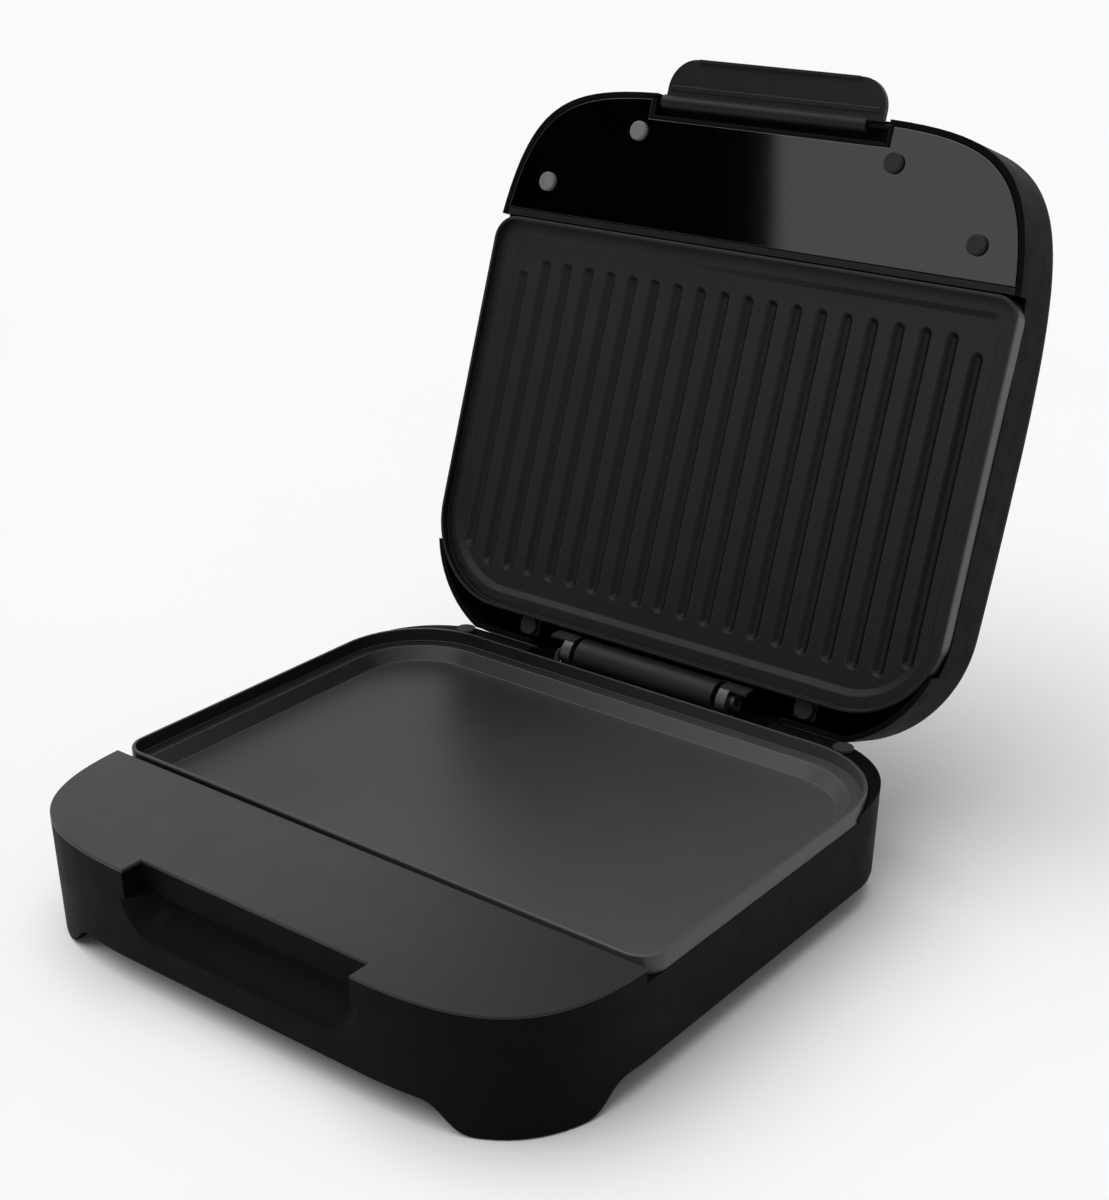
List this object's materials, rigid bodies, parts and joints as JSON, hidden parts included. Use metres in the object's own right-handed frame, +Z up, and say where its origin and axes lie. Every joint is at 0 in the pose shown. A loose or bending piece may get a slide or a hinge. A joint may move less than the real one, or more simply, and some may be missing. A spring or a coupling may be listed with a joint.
{
  "type": "sandwich maker",
  "caption": "Countertop cooker that presses food between a smooth lower plate and a ribbed upper plate in a hinged lid with a front latch.",
  "frame": {"origin": "on the table, under the middle of the box of the open sandwich maker", "axes": "+Z up, -Y towards the user who opens the lid, X across; the lid stands open"},
  "size_m": [0.248, 0.3448, 0.2846],
  "materials": {
    "bright_steel": "zinc-plated",
    "bumper_rubber": "matte",
    "dark_steel": "blackened",
    "element_steel": "dulled tube",
    "foot_rubber": "matte",
    "gloss_black": "polished",
    "heat_plastic": "heat-resistant moulding",
    "lamp_glass": "neon tube",
    "latch_black": "satin",
    "matte_black": "fine matte",
    "plate_coating": "cast aluminium with a dark non-stick coating",
    "red_lens": "clear tinted",
    "satin_deck": "satin",
    "sheet_metal": "bare sheet",
    "wire_jacket": "silicone jacket"
  },
  "bodies": {
    "base": {"base_housing": "matte_black", "base_wires": "wire_jacket", "bottom_cover": "matte_black", "bracket_screws": "dark_steel", "clamp_screws": "bright_steel", "cord_gland": "matte_black", "foot_pads": "foot_rubber", "front_deck": "satin_deck", "hinge_bracket_left": "dark_steel", "hinge_bracket_right": "dark_steel", "hinge_pins": "dark_steel", "lead_sleeve": "foot_rubber", "lower_element": "element_steel", "lower_plate": "plate_coating", "lower_reflector": "sheet_metal", "rear_pads": "foot_rubber", "terminal_block": "heat_plastic", "thermal_fuse": "heat_plastic", "thermostat": "heat_plastic"},
    "lid": {"lid_shell": "matte_black", "lid_crossbar": "latch_black", "front_panel": "gloss_black", "panel_bumpers": "bumper_rubber", "latch_trough": "matte_black", "trough_screws": "dark_steel", "latch_pin": "dark_steel", "upper_plate": "plate_coating", "crossbar_screws": "bright_steel", "rear_lug_screws": "bright_steel", "rear_caps": "bumper_rubber", "upper_reflector": "sheet_metal", "upper_plate_screws": "bright_steel", "upper_element": "element_steel", "thermal_cutout": "heat_plastic", "hinge_barrel": "latch_black", "barrel_screws": "dark_steel", "lid_wires": "wire_jacket", "pilot_lenses": "red_lens", "pilot_lamps": "lamp_glass"},
    "latch": {"latch": "latch_black"}
  },
  "joints": [
    {"name": "lid_hinge", "type": "hinge", "parent": "base", "child": "lid", "pos_m": [0, 0.0641, 0.0492], "axis": [1, 0, 0], "range_deg": [0, 108.9]},
    {"name": "latch_pivot", "type": "hinge", "parent": "lid", "child": "latch", "pos_m": [0, 0.14167, 0.26649], "axis": [1, 0, 0], "range_deg": [0, 90]}
  ]
}
